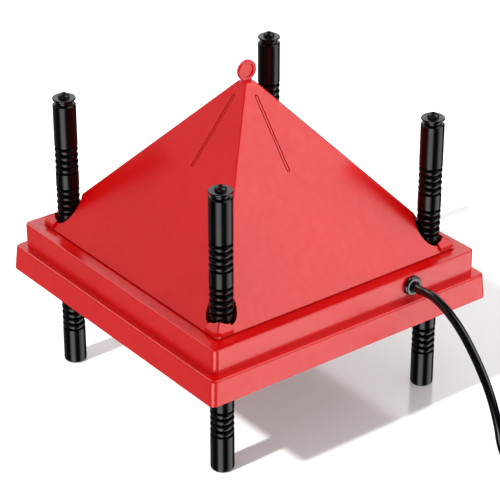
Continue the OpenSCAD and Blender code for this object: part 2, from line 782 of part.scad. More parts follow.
// Flat strap round the bundle of turns, half a turn from where they climb
module coil_tie() color([0.12, 0.12, 0.12]) {
    inner_r = coil_in_r + coil_step / 2 - cord_r - tie_gap - tie_bow;
    outer_r = coil_in_r + coil_step * (ceil(coil_half_turns - 1 / 2) - 1 / 2) + cord_r + tie_gap;
    bundle_w = outer_r - inner_r;
    bundle_h = cord_d + coil_step + 2 * tie_gap;
    climb_angle = 360 * coil_half_turns - 90;
    translate([coil_x, coil_y, tie_t + bundle_h / 2]) rotate(climb_angle + 180)
        translate([(inner_r + outer_r) / 2, 0, 0]) rotate([90, 0, 0])
            linear_extrude(tie_w, center = true) difference() {
                rounded_square(bundle_w + 2 * tie_t, bundle_h + 2 * tie_t, tie_round);
                rounded_square(bundle_w, bundle_h, tie_round - tie_t);
            }
}

module plug_body() color(cord_black) translate([plug_x, plug_y, plug_z]) rotate([0, -90, 0]) {
    rotate_extrude() polygon([
        [0, 0], [plug_neck_d0 / 2, 0], [plug_neck_d1 / 2, plug_neck_l],
        [plug_neck_d1 / 2, plug_neck_l + overrun], [0, plug_neck_l + overrun]
    ]);
    translate([0, 0, plug_neck_l]) difference() {
        union() {
            linear_extrude(plug_l - plug_nose_l) rounded_square(plug_h, plug_w, plug_round);
            linear_extrude(plug_l)
                rounded_square(
                    plug_h - 2 * plug_nose_inset,
                    plug_w - 2 * plug_nose_inset,
                    plug_round - plug_nose_inset
                );
        }
        for (m = [-1, 1], k = [0 : plug_grips - 1])
            translate([-plug_h, m * plug_w / 2, plug_grip_pitch * (k + 1)])
                translate([0, -plug_grip_depth, -plug_grip_w / 2])
                    cube([2 * plug_h, 2 * plug_grip_depth, plug_grip_w]);
    }
}

module plug_pins() color(brass) for (m = [-1, 1])
    translate([plug_face_x, plug_y + m * pin_at, plug_z]) rotate([90, 0, 0])
        linear_extrude(pin_t, center = true) union() {
            translate([-pin_l + pin_round, -pin_w / 2]) square([pin_l - pin_round, pin_w]);
            translate([-pin_l, -pin_w / 2 + pin_round]) square([pin_l, pin_w - 2 * pin_round]);
            for (e = [-1, 1]) translate([-pin_l + pin_round, e * (pin_w / 2 - pin_round)])
                circle(pin_round, $fn = 24);
        }

cover();
housing();
radiant_plate();
heating_foil();
heating_wire();
insulation_board();
thermal_cutout();
terminal_block();
terminal_screws();
supply_leads();
element_leads();
cord_tail();
cord_clamp();
clamp_screws();
cord_grommet();
base_screws();
leg(0);  // leg_front
leg(1);  // leg_left
leg(2);  // leg_right
leg(3);  // leg_back
leg_cap(0);  // leg_cap_front
leg_cap(1);  // leg_cap_left
leg_cap(2);  // leg_cap_right
leg_cap(3);  // leg_cap_back
leg_screw(0);  // leg_screw_front
leg_screw(1);  // leg_screw_left
leg_screw(2);  // leg_screw_right
leg_screw(3);  // leg_screw_back
grip_ring(0);  // grip_ring_front
grip_ring(1);  // grip_ring_left
grip_ring(2);  // grip_ring_right
grip_ring(3);  // grip_ring_back
power_cord();
cord_coil();
coil_tie();
plug_body();
plug_pins();
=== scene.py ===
import json
import math

import bmesh
import bpy
from mathutils import Matrix, Vector


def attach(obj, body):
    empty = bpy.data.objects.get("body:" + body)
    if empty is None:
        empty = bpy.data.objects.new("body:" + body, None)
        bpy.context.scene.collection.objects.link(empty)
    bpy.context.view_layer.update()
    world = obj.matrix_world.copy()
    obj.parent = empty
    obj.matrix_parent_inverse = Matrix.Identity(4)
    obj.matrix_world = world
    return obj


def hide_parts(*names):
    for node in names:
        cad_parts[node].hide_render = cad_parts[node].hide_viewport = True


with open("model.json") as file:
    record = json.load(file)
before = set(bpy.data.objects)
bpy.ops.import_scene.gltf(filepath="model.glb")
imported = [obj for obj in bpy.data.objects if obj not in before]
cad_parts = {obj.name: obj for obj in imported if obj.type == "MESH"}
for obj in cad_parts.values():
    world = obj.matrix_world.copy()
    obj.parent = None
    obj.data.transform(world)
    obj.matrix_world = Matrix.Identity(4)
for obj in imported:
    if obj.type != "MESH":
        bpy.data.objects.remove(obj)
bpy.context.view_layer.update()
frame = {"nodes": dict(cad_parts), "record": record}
nodes = frame["nodes"]
print("frame loaded:", len(nodes), "solids")

corners = {"front": (1, -1), "left": (-1, -1), "right": (1, 1), "back": (-1, 1)}
quarter = math.pi / 2
# how far a cutter runs past what it cuts, and a joined shape into its neighbour
lap = 0.001

# camera, at the angle of the photograph
shot = {
    "place": (1.08477, -0.83364, 0.83962), "aim": (0.09591, -0.07095, 0.16694),
    "lens": 152.15, "sensor": 36,
}


def aimed(start, target):
    return (Vector(target) - Vector(start)).to_track_quat("-Z", "Y").to_euler()


bpy.ops.object.camera_add(location=shot["place"])
eye = bpy.context.object
eye.rotation_euler = aimed(shot["place"], shot["aim"])
eye.data.lens = shot["lens"]
eye.data.sensor_width = shot["sensor"]
bpy.context.scene.camera = eye


class Wire:
    # one shader socket; sums and products of wires become Math nodes
    def __init__(self, tree, socket):
        self.tree = tree
        self.socket = socket

    def make(self, kind, settings=None, ins=None, out=0):
        node = self.tree.nodes.new("ShaderNode" + kind)
        for key, value in (settings or {}).items():
            setattr(node, key, value)
        for key, value in (ins or {}).items():
            if isinstance(value, Wire):
                self.tree.links.new(value.socket, node.inputs[key])
            else:
                node.inputs[key].default_value = value
        return Wire(self.tree, node.outputs[out])

    def math(self, how, first, second):
        return self.make("Math", {"operation": how}, {0: first, 1: second})

    def __add__(self, other):
        return self.math("ADD", self, other)

    def __sub__(self, other):
        return self.math("SUBTRACT", self, other)

    def __rsub__(self, other):
        return self.math("SUBTRACT", other, self)

    def __mul__(self, other):
        return self.math("MULTIPLY", self, other)

    def noise(self, scale, detail):
        return self.make("TexNoise", None, {"Vector": self, "Scale": scale, "Detail": detail})

    def stretched(self, x, y, z):
        return self.make("Mapping", None, {"Vector": self, "Scale": (x, y, z)})

    def between(self, low, high):
        return self.make("MapRange", None, {"Value": self, "From Min": low, "From Max": high})

    def tint(self, dark, pale):
        return self.make("Mix", {"data_type": "RGBA"}, {0: self, 6: (*dark, 1), 7: (*pale, 1)}, 2)

    def bump(self, height, strength=0.5):
        return self.make("Bump", None, {"Height": self, "Distance": height, "Strength": strength})


def finishOf(name, surface, **fixed):
    material = bpy.data.materials.new(name)
    material.use_nodes = True
    tree = material.node_tree
    shader = tree.nodes["Principled BSDF"]
    for key, value in fixed.items():
        shader.inputs[key.replace("_", " ")].default_value = value
    spot = Wire(tree, tree.nodes.new("ShaderNodeTexCoord").outputs["Object"])
    for key, wire in surface(spot).items():
        tree.links.new(wire.socket, shader.inputs[key])
    return material


def grey(level):
    return (level, level, level)


plastic = {
    "skinScale": 1400, "mottleScale": 260, "skinShare": 0.3, "mottleShare": 0.7, "bump": 0.35,
    "cloudSpan": (0.3, 0.7), "filmSpan": (0.35, 0.7), "cloudRough": 0.05, "skinRough": 0.04, "roughMid": 0.045,
}


def moulded(dark, pale, rough, grain=0.00002, patch=18, film=0):
    # moulded plastic: faint cloudiness, a fine skin and, where it has a film, an uneven gloss
    p = plastic

    def surface(spot):
        cloud = spot.noise(patch, 4)
        skin = spot.noise(p["skinScale"], 2)
        mottle = spot.noise(p["mottleScale"], 3)
        look = {
            "Base Color": cloud.between(*p["cloudSpan"]).tint(dark, pale),
            "Roughness": cloud * p["cloudRough"] + skin * p["skinRough"] + (rough - p["roughMid"]),
            "Normal": (skin * p["skinShare"] + mottle * p["mottleShare"]).bump(grain, p["bump"]),
        }
        if film:
            look["Coat Weight"] = mottle.between(*p["filmSpan"]) * film
        return look
    return surface


fibre = {
    "cloudSize": 20, "grainShare": 0.6, "cloudShare": 0.4, "span": (0.35, 0.65),
    "grainRough": 0.15, "roughMid": 0.07,
}


def matt(dark, pale, rough, scale=500, height=0.0001):
    # grained or fibrous surface without gloss
    f = fibre

    def surface(spot):
        grain = spot.noise(scale, 5)
        cloud = spot.noise(scale / f["cloudSize"], 3)
        patches = grain * f["grainShare"] + cloud * f["cloudShare"]
        return {
            "Base Color": patches.between(*f["span"]).tint(dark, pale),
            "Roughness": grain * f["grainRough"] + (rough - f["roughMid"]),
            "Normal": grain.bump(height),
        }
    return surface


drawn = {
    "lineScale": 600, "stainScale": 60, "lineShare": 0.5, "stainShare": 0.5, "span": (0.35, 0.65),
    "lineRough": 0.14, "stainRough": 0.1, "roughMid": 0.1, "lineDeep": 0.00002, "bump": 0.4,
}


def metal(dark, pale, rough, grain):
    # drawn or turned metal, with its lines along one axis
    d = drawn

    def surface(spot):
        lines = spot.stretched(*grain).noise(d["lineScale"], 4)
        stain = spot.noise(d["stainScale"], 4)
        patches = lines * d["lineShare"] + stain * d["stainShare"]
        return {
            "Base Color": patches.between(*d["span"]).tint(dark, pale),
            "Roughness": lines * d["lineRough"] + stain * d["stainRough"] + (rough - d["roughMid"]),
            "Normal": lines.bump(d["lineDeep"], d["bump"]),
        }
    return surface


finishes = {
    "casing_red": finishOf(
        "redCasing", moulded((0.6, 0.0012, 0.002), (0.66, 0.0022, 0.003), 0.24, grain=0.0001, film=0.25),
        Coat_Roughness=0.2),
    "leg_black": finishOf(
        "blackRod", moulded((0.0008, 0.0008, 0.0009), grey(0.002), 0.2), Specular_IOR_Level=0.25),
    "cap_black": finishOf("blackCap", moulded(grey(0.001), grey(0.003), 0.2), Specular_IOR_Level=0.36),
    "screw_black": finishOf(
        "blackenedSteel", metal(grey(0.002), grey(0.008), 0.2, (1, 1, 1)), Specular_IOR_Level=0.4),
    "ring_rubber": finishOf("gripRubber", matt(grey(0.012), grey(0.02), 0.7)),
    "plate_red": finishOf("plateGrain", matt((0.16, 0.006, 0.006), (0.2, 0.008, 0.008), 0.5, 900, 0.00012)),
    "foil": finishOf("elementFoil", metal((0.62, 0.62, 0.63), grey(0.78), 0.35, (1, 8, 1)), Metallic=1.0),
    "wire_silicone": finishOf("wireSleeve", matt((0.22, 0.05, 0.02), (0.3, 0.07, 0.03), 0.5)),
    "insulation": finishOf("feltBoard", matt((0.66, 0.64, 0.54), (0.82, 0.8, 0.7), 0.95, 320, 0.0004)),
    "cutout_resin": finishOf("cutoutResin", matt((0.02, 0.014, 0.01), (0.035, 0.025, 0.018), 0.5)),
    "block_white": finishOf("blockPlastic", moulded((0.7, 0.7, 0.66), (0.76, 0.76, 0.72), 0.4)),
    "terminal_brass": finishOf(
        "terminalBrass", metal((0.5, 0.33, 0.1), (0.66, 0.46, 0.17), 0.35, (1, 1, 6)), Metallic=1.0),
    "lead_blue": finishOf("blueLead", moulded((0.02, 0.06, 0.3), (0.03, 0.08, 0.36), 0.4)),
    "lead_red": finishOf("redLead", moulded((0.3, 0.02, 0.012), (0.36, 0.03, 0.02), 0.4)),
    "cord_black": finishOf("cordSheath", moulded(grey(0.001), grey(0.003), 0.1, patch=40)),
    "clamp_grey": finishOf("clampPlastic", matt((0.025, 0.025, 0.026), (0.04, 0.04, 0.042), 0.55)),
    "screw_steel": finishOf(
        "zincSteel", metal((0.42, 0.42, 0.43), (0.58, 0.58, 0.6), 0.38, (1, 1, 5)), Metallic=1.0),
    "grommet_black": finishOf(
        "grommetGloss", moulded(grey(0.001), grey(0.003), 0.12), Coat_Weight=0.4, Coat_Roughness=0.08),
    "tie_black": finishOf("tieStrap", matt(grey(0.008), grey(0.016), 0.5, 700, 0.00008)),
    "plug_black": finishOf("plugPlastic", moulded(grey(0.008), grey(0.014), 0.45, grain=0.00005)),
    "pin_brass": finishOf(
        "pinBrass", metal((0.52, 0.38, 0.14), (0.68, 0.52, 0.22), 0.3, (6, 1, 1)), Metallic=1.0),
}
for row in frame["record"]["subparts"]:
    solid = nodes[row["node"]]
    solid.data.materials.clear()
    solid.data.materials.append(finishes[row["material_slot"]])
print("finishes made:", len(finishes))


def settle():
    active = bpy.context.view_layer.objects.active
    if active and active.mode != "OBJECT":
        bpy.ops.object.mode_set(mode="OBJECT")
    bpy.ops.object.select_all(action="DESELECT")


def hold(piece):
    settle()
    piece.select_set(True)
    bpy.context.view_layer.objects.active = piece


def edit(piece):
    hold(piece)
    bpy.ops.object.mode_set(mode="EDIT")


def fixPlace():
    bpy.ops.object.transform_apply(location=True, rotation=True, scale=True)


def named(name):
    piece = bpy.context.object
    piece.name = piece.data.name = name
    fixPlace()
    return piece


def laid(piece, turn, at=(0, 0, 0)):
    hold(piece)
    piece.rotation_euler = turn
    piece.location = at
    fixPlace()


def block(name, low, high):
    settle()
    middle = [(a + b) / 2 for a, b in zip(low, high)]
    size = [b - a for a, b in zip(low, high)]
    bpy.ops.mesh.primitive_cube_add(size=1, location=middle, scale=size)
    return named(name)


def rod(name, radius, foot, height, turn=(0, 0, 0), sides=48):
    # a round bar from its foot along its own turned axis
    settle()
    bpy.ops.mesh.primitive_cylinder_add(vertices=sides, radius=radius, depth=height, rotation=turn)
    piece = bpy.context.object
    axis = piece.rotation_euler.to_matrix() @ Vector((0, 0, height / 2))
    piece.location = Vector(foot) + axis
    return named(name)


def cornerRods(name, radius, at, foot, height, sides=48):
    return [rod(name, radius, (x * at, y * at, foot), height, sides=sides) for x, y in corners.values()]


def joined(pieces):
    hold(pieces[0])
    for piece in pieces[1:]:
        piece.select_set(True)
    bpy.ops.object.join()
    return pieces[0]


def carve(piece, tool, way="DIFFERENCE"):
    hold(piece)
    change = piece.modifiers.new("carve", "BOOLEAN")
    change.operation = way
    change.solver = "EXACT"
    change.object = tool
    bpy.ops.object.modifier_apply(modifier=change.name)
    bpy.data.objects.remove(tool, do_unlink=True)


def pick(kind, test):
    bpy.ops.mesh.select_mode(type=kind)
    bpy.ops.mesh.select_all(action="DESELECT")
    mesh = bmesh.from_edit_mesh(bpy.context.object.data)
    for item in {"EDGE": mesh.edges, "FACE": mesh.faces}[kind]:
        if test(item):
            item.select_set(True)
    mesh.select_flush_mode()
    bmesh.update_edit_mesh(bpy.context.object.data)


def near(a, b, hair=1e-5):
    return abs(a - b) < hair


def reachOf(edge):
    # how far out the nearer end of an edge lies
    return min(max(abs(v.co.x), abs(v.co.y)) for v in edge.verts)


def flatAt(edge, z):
    return all(near(v.co.z, z) for v in edge.verts)


def along(edge, axis, least=0.0005):
    # whether an edge goes some way along an axis
    return abs(edge.verts[0].co[axis] - edge.verts[1].co[axis]) > least


def facing(face, axis, way, least=0.9):
    return face.normal[axis] * way > least


def isWall(face, most=0.1):
    return abs(face.normal.z) < most


def isSlope(face, least=0.3, most=0.95):
    return least < face.normal.z < most


def soften(radius, steps):
    bpy.ops.mesh.bevel(offset=radius, segments=steps, affect="EDGES")


def grow(x, y, z, about=(0, 0, 0)):
    bpy.ops.transform.resize(value=(x, y, z), center_override=about)


def widen(share):
    grow(share, share, 1)


def pull(x, y, z):
    bpy.ops.mesh.extrude_region_move(TRANSFORM_OT_translate={"value": (x, y, z)})


def stepTo(share, rise):
    # a level step in or out, and a wall from there
    pull(0, 0, 0)
    widen(share)
    pull(0, 0, rise)


def shaded(piece, degrees=35):
    hold(piece)
    bpy.ops.object.shade_smooth_by_angle(angle=math.radians(degrees))
    change = piece.modifiers.new("evenShade", "WEIGHTED_NORMAL")
    change.keep_sharp = True
    change.weight = 80
    bpy.ops.object.modifier_apply(modifier=change.name)


def roundedBlock(name, half, low, high, radius):
    # an upright square block with round corners
    piece = block(name, (-half, -half, low), (half, half, high))
    edit(piece)
    pick("EDGE", lambda e: along(e, 2))
    soften(radius, 8)
    return piece


def turned(name, outline, sides=48):
    # spins a line of (radius, height) points about the upright axis
    settle()
    bpy.ops.mesh.primitive_circle_add(vertices=3, radius=0.001)
    piece = named(name)
    edit(piece)
    bpy.ops.mesh.select_mode(type="VERT")
    bpy.ops.mesh.select_all(action="SELECT")
    bpy.ops.mesh.merge(type="CENTER")
    bpy.ops.transform.translate(value=(outline[0][0], 0, outline[0][1]))
    for (r0, z0), (r1, z1) in zip(outline, outline[1:]):
        pull(r1 - r0, 0, z1 - z0)
    bpy.ops.mesh.select_all(action="SELECT")
    bpy.ops.mesh.spin(steps=sides, angle=2 * math.pi, center=(0, 0, 0), axis=(0, 0, 1))
    bpy.ops.mesh.select_all(action="SELECT")
    bpy.ops.mesh.remove_doubles(threshold=1e-6)
    bpy.ops.mesh.normals_make_consistent(inside=False)
    settle()
    return piece


def bend(middle, radius, start, stop, steps):
    turns = [math.radians(start + (stop - start) * k / steps) for k in range(steps + 1)]
    return [(middle[0] + radius * math.cos(a), middle[1] + radius * math.sin(a)) for a in turns]


def copyTo(piece, name, x, y):
    twin = piece.copy()
    twin.data = piece.data.copy()
    twin.name = twin.data.name = name
    twin.data.transform(Matrix.Translation((x, y, 0)))
    bpy.context.scene.collection.objects.link(twin)
    return twin


def place(piece, slot, body, *stoodFor):
    piece.data.materials.clear()
    piece.data.materials.append(finishes[slot])
    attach(piece, body)
    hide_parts(*stoodFor)


# cord: the route of the solids, drawn as one smooth line
cord = {
    "radius": 0.0032, "wall": 0.1178, "exit": (0.1208, 0.057, 0.1059), "lie": 0.0043, "length": 1.8,
    "reach": (0.0102, 0.0222, 0.0342, 0.0452, 0.0562, 0.0662, 0.0752, 0.0832,
              0.0897, 0.0947, 0.0982, 0.1037, 0.1117, 0.1212, 0.1302, 0.1382),
    "fall": (1, 1.007, 0.975, 0.922, 0.844, 0.75, 0.647, 0.538,
             0.42, 0.302, 0.189, 0.0955, 0.0315, 0.001, 0, 0),
    "perStop": 5, "tightest": 0.02775, "step": 0.0069, "turns": 6.5, "perTurn": 48, "climb": 0.5,
    "tail": 0.02, "roundness": 6,
}


def smoothly(a, b, c, d, t):
    # the share t of the way from b to c, on a curve that also heeds their neighbours
    return (b + (c - a) * t / 2 + (2 * a - 5 * b + 4 * c - d) * t * t / 2
            + (3 * b - a - 3 * c + d) * t ** 3 / 2)


def cordLine(c):
    y, z = c["exit"][1:]
    drop = z - c["lie"]
    stops = [Vector(c["exit"])]
    stops += [Vector((c["wall"] + r, y, c["lie"] + drop * f)) for r, f in zip(c["reach"], c["fall"])]
    ends = [2 * stops[0] - stops[1], *stops, 2 * stops[-1] - stops[-2]]
    line = []
    for four in zip(ends, ends[1:], ends[2:], ends[3:]):
        line += [smoothly(*four, k / c["perStop"]) for k in range(c["perStop"])]
    line.append(stops[-1])
    # the coil winds inwards, climbs one step and winds out again on top
    half = c["turns"] / 2
    outer = c["tightest"] + c["step"] * half
    middle = Vector((stops[-1].x + 2 * c["radius"], y + outer, c["lie"]))
    for k in range(int(c["turns"] * c["perTurn"]) + 1):
        t = k / c["perTurn"]
        r = c["tightest"] + c["step"] * abs(half - t)
        rise = min(1, max(0, (t - half) / c["climb"] + 0.5))
        lift = c["step"] * rise * rise * (3 - 2 * rise)
        angle = 2 * math.pi * t - quarter
        line.append(middle + Vector((r * math.cos(angle), r * math.sin(angle), lift)))
    line.append(line[-1] - Vector((c["tail"], 0, 0)))
    return line


cordData = bpy.data.curves.new("mainsCord", "CURVE")
cordData.dimensions = "3D"
cordData.bevel_depth = cord["radius"]
cordData.bevel_resolution = cord["roundness"]
cordData.use_fill_caps = True
cordPoints = cordLine(cord)
spline = cordData.splines.new("POLY")
spline.points.add(len(cordPoints) - 1)
for point, at in zip(spline.points, cordPoints):
    point.co = (*at, 1)
mainsCord = bpy.data.objects.new("mainsCord", cordData)
bpy.context.scene.collection.objects.link(mainsCord)
mainsCord.visible_glossy = False
place(mainsCord, "cord_black", "base", "power_cord", "cord_coil")
print("cord drawn with", len(cordPoints), "points")

# casing: two tiers with soft edges, hollow from below
casing = {
    "foot": 0.076, "tierZ": 0.0955, "deckZ": 0.1145, "lowerHalf": 0.125, "draft": 0.0015, "upperHalf": 0.1178,
    "cornerR": 0.0045, "deckR": 0.0009, "tierR": 0.0017, "lipR": 0.0008,
    "lowerIn": 0.121, "upperIn": 0.1153, "shelfZ": 0.093, "roofZ": 0.1115,
    "legAt": 0.0934, "boreR": 0.0089, "boreL": 0.05, "sleeveR": 0.0129, "sleeveFrom": 0.0805,
    "bossR": 0.004, "bossSides": 24, "bossAt": 0.11625, "bossMid": 0.04356,
    "cordHoleR": 0.0047, "cordHoleL": 0.01, "cordHoleSides": 32, "cordY": 0.057, "cordZ": 0.1059,
}


def makeCasing(c):
    half, top = c["lowerHalf"], c["lowerHalf"] - c["draft"]
    piece = roundedBlock("casing", half, c["foot"], c["tierZ"], c["cornerR"])
    pick("FACE", lambda f: facing(f, 2, 1))
    widen(top / half)
    stepTo(c["upperHalf"] / top, c["deckZ"] - c["tierZ"])
    pick("FACE", lambda f: facing(f, 2, -1))
    stepTo(c["lowerIn"] / half, c["shelfZ"] - c["foot"])
    stepTo(c["upperIn"] / c["lowerIn"], c["roofZ"] - c["shelfZ"])
    ledge = (c["upperHalf"] + top) / 2
    pick("EDGE", lambda e: flatAt(e, c["deckZ"]))
    soften(c["deckR"], 4)
    pick("EDGE", lambda e: flatAt(e, c["tierZ"]) and reachOf(e) > ledge)
    soften(c["tierR"], 6)
    pick("EDGE", lambda e: flatAt(e, c["foot"]) and reachOf(e) > c["lowerIn"] + lap)
    soften(c["lipR"], 3)
    settle()
    low = c["sleeveFrom"]
    stubs = cornerRods("stub", c["sleeveR"], c["legAt"], low, c["roofZ"] + lap - low)
    for side in range(4):
        turn = side * quarter
        for m in (-1, 1):
            x = c["bossAt"] * math.cos(turn) - m * c["bossMid"] * math.sin(turn)
            y = c["bossAt"] * math.sin(turn) + m * c["bossMid"] * math.cos(turn)
            stubs.append(rod("stub", c["bossR"], (x, y, low), c["shelfZ"] + lap - low, sides=c["bossSides"]))
    carve(piece, joined(stubs), "UNION")
    bores = cornerRods("bore", c["boreR"], c["legAt"], c["foot"], c["boreL"])
    start = (c["upperIn"] - lap, c["cordY"], c["cordZ"])
    bores.append(rod("bore", c["cordHoleR"], start, c["cordHoleL"], (0, quarter, 0), c["cordHoleSides"]))
    carve(piece, joined(bores))
    shaded(piece)
    return piece


place(makeCasing(casing), "casing_red", "base", "housing")
print("casing modelled")

# lid: a pyramid shell with a lift tab, a groove down each face and a pad at each corner
lid = {
    "base": 0.1145, "half": 0.1076, "rim": 0.0012, "rise": 0.128, "tipHalf": 0.0045, "wall": 0.002,
    "ridgeR": 0.0014, "hollowFoot": 0.00047, "hollowTop": 0.11919, "hollowTip": 0.0058,
    "legAt": 0.0934, "holeR": 0.0106, "holeSides": 64,
    "grooveFrom": 0.0106, "grooveTo": 0.0488, "grooveW": 0.0028, "grooveDeep": 0.0013,
    "grooveLine": 0.0008, "grooveSink": 0.0001,
    "padW": 0.014, "padEdge": 0.0045, "padSlope": 0.63, "padCornerR": 0.005, "padSoft": 0.0005,
    "postH": 0.03, "slitW": 0.0009, "slitDeep": 0.0012,
    "tabR": 0.0077, "tabSides": 64, "tabT": 0.003, "tabRim": 0.0025, "tabDish": 0.0009, "tabTaper": 0.94,
    "tabSoft": 0.0006, "tabRise": 0.00805, "neckW": 0.0074, "neckTop": 0.0066,
    "gapH": 0.0011, "gapDeep": 0.0012, "gapOver": 0.002,
}


def faceZ(c, level):
    return c["base"] + c["rim"] + c["rise"] * (1 - level / c["half"])


def frustum(name, half, low, shoulder, top, topHalf):
    # an upright square block that tapers from its shoulder to its top
    piece = block(name, (-half, -half, low), (half, half, shoulder))
    edit(piece)
    pick("FACE", lambda f: facing(f, 2, 1))
    pull(0, 0, top - shoulder)
    widen(topHalf / half)
    return piece


def bar(name, size, tilt, turn, at, roundShare=0.49):
    # a thin cutter with round ends: tilted about Y, then turned about Z to its side of the lid
    piece = block(name, [-x / 2 for x in size], [x / 2 for x in size])
    edit(piece)
    pick("EDGE", lambda e: along(e, 2))
    soften(size[1] * roundShare, 6)
    laid(piece, (0, tilt, 0), at)
    laid(piece, (0, 0, turn))
    return piece


def makePads(c):
    half, inner, base = c["half"], c["half"] - c["padW"], c["base"]
    foot = base + c["padEdge"]
    pads = frustum("pads", half, base, foot, foot + c["padSlope"] * c["rise"] * c["padW"] / half, inner)
    posts = []
    for x, y in corners.values():
        (x0, x1), (y0, y1) = sorted((x * half, x * inner)), sorted((y * half, y * inner))
        post = block("post", (x0, y0, base - lap), (x1, y1, base + c["postH"]))
        edit(post)
        pick("EDGE", lambda e: all(min(abs(v.co.x), abs(v.co.y)) > half - lap for v in e.verts))
        soften(c["padCornerR"], 8)
        posts.append(post)
    carve(pads, joined(posts), "INTERSECT")
    edit(pads)
    pick("EDGE", lambda e: any(map(isWall, e.link_faces)) and any(map(isSlope, e.link_faces)))
    soften(c["padSoft"], 3)
    return pads


def makeTab(c):
    middle = faceZ(c, c["tipHalf"]) + c["tabRise"]
    halfT, halfNeck = c["tabT"] / 2, c["neckW"] / 2
    piece = rod("tab", c["tabR"], (-halfT, 0, middle), c["tabT"], (0, quarter, 0), c["tabSides"])
    edit(piece)
    pick("FACE", lambda f: facing(f, 0, 1) or facing(f, 0, -1))
    bpy.ops.mesh.inset(thickness=c["tabRim"], use_individual=True)
    for way in (-1, 1):
        pick("FACE", lambda f: facing(f, 0, way) and len(f.verts) == c["tabSides"])
        pull(-way * c["tabDish"], 0, 0)
        grow(1, c["tabTaper"], c["tabTaper"], (0, 0, middle))
    pick("EDGE", lambda e: near(e.verts[0].co.x, e.verts[1].co.x)
         and all(near(math.hypot(v.co.y, v.co.z - middle), c["tabR"]) for v in e.verts))
    soften(c["tabSoft"], 3)
    low, high = middle - c["tabRise"] - lap, middle - c["neckTop"]
    neck = block("neck", (-halfT, -halfNeck, low), (halfT, halfNeck, high))
    edit(neck)
    pick("EDGE", lambda e: along(e, 2))
    soften(c["tabSoft"], 3)
    carve(piece, neck, "UNION")
    return piece


def footGap(c):
    # a cutter for the thin dark gap under the lid's edge
    base, over, deep = c["base"], c["gapOver"], c["gapDeep"]
    outer = c["half"] + over
    core = roundedBlock("core", c["half"] - deep, base - over, base + over, c["padCornerR"] - deep)
    ring = block("gap", (-outer, -outer, base - lap), (outer, outer, base + c["gapH"]))
    carve(ring, core)
    return ring


def lineCuts(c):
    # cutters for the four face grooves and the four slits in the pads
    slope = math.atan2(c["rise"], c["half"])
    level = (c["grooveFrom"] + c["grooveTo"]) / 2
    grooveSize = ((c["grooveTo"] - c["grooveFrom"]) / math.cos(slope), c["grooveW"], 2 * c["grooveDeep"])
    # the groove's middle stands nearly flush, so that only its outline is deep
    stripSize = [x - 2 * c["grooveLine"] for x in grooveSize[:2]] + [grooveSize[2]]
    sunk = c["grooveSink"] + c["grooveDeep"]
    stripAt = (level - sunk * math.sin(slope), 0, faceZ(c, level) - sunk * math.cos(slope))
    fall = c["padSlope"] * c["rise"] / c["half"]
    slitSize = (2 * c["padW"], c["slitW"], 2 * c["slitDeep"])
    slitTilt = math.atan(fall / math.sqrt(2))
    slitOut = (c["half"] - c["padW"] / 2) * math.sqrt(2)
    slitAt = (slitOut, 0, c["base"] + c["padEdge"] + fall * c["padW"] / 2)
    cuts = []
    for side in range(4):
        turn = side * quarter
        groove = bar("groove", grooveSize, slope, turn, (level, 0, faceZ(c, level)))
        carve(groove, bar("strip", stripSize, slope, turn, stripAt))
        cuts.append(groove)
        cuts.append(bar("slit", slitSize, slitTilt, turn + quarter / 2, slitAt))
    return joined(cuts)


def makeLid(c):
    half, base = c["half"], c["base"]
    piece = frustum("lid", half, base, base + c["rim"], faceZ(c, c["tipHalf"]), c["tipHalf"])
    pick("EDGE", lambda e: along(e, 2))
    soften(c["ridgeR"], 5)
    carve(piece, makePads(c), "UNION")
    hollow = frustum("hollow", half - c["wall"], base - lap, base + c["hollowFoot"], base + c["hollowTop"],
                     c["hollowTip"])
    carve(piece, hollow)
    carve(piece, joined(cornerRods("hole", c["holeR"], c["legAt"], base - lap, c["rise"], c["holeSides"])))
    carve(piece, lineCuts(c))
    carve(piece, footGap(c))
    carve(piece, makeTab(c), "UNION")
    shaded(piece)
    return piece


place(makeLid(lid), "casing_red", "cover", "cover")
print("lid modelled")

# legs: ribbed rods with a necked cap and a cross-head screw, turned once and set at the four corners
leg = {
    "r": 0.0085, "top": 0.2133, "at": 0.0934, "footR": 0.0018, "chamfer": 0.0008,
    "boreR": 0.0046, "boreDeep": 0.0061, "groups": 5, "groupPitch": 0.0327,
    "rings": 5, "ringFrom": 0.029, "ringPitch": 0.005, "slotW": 0.0014, "slotFloor": 0.4, "slotDeep": 0.0022,
    "beadDeep": 0.0005, "beadSteps": 8,
}
cap = {
    "neckR": 0.00625, "neckH": 0.003, "thick": 0.0017, "r": 0.0085, "soft": 0.0005, "taper": 0.0013,
    "rim": 0.0008, "spigotR": 0.0045, "spigot": 0.006, "holeR": 0.0018,
}
capScrew = {
    "r": 0.0043, "high": 0.0036, "rim": 0.00126, "shankR": 0.00175, "shank": 0.016,
    "slotW": 0.0011, "slotL": 0.0053, "slotDeep": 0.0018, "slotTop": 0.01,
}
# the crease angle of turned pieces
turnedCrease = 40


def ringed(c, z):
    # one group of narrow grooves from z up, with rounded beads between them
    line = []
    r, last, half = c["r"], c["rings"] - 1, c["slotW"] / 2
    floorR, floorHalf = r - c["slotDeep"], c["slotFloor"] * c["slotW"]
    for k in range(c["rings"]):
        middle = z + k * c["ringPitch"]
        line += [(r - (c["beadDeep"] if k else 0), middle - half), (floorR, middle - floorHalf)]
        line += [(floorR, middle + floorHalf), (r - (c["beadDeep"] if k < last else 0), middle + half)]
        if k < last:
            for step in range(1, c["beadSteps"]):
                u = 2 * step / c["beadSteps"] - 1
                height = half + (c["ringPitch"] - c["slotW"]) * step / c["beadSteps"]
                line.append((r - c["beadDeep"] * u ** 2, middle + height))
    return line


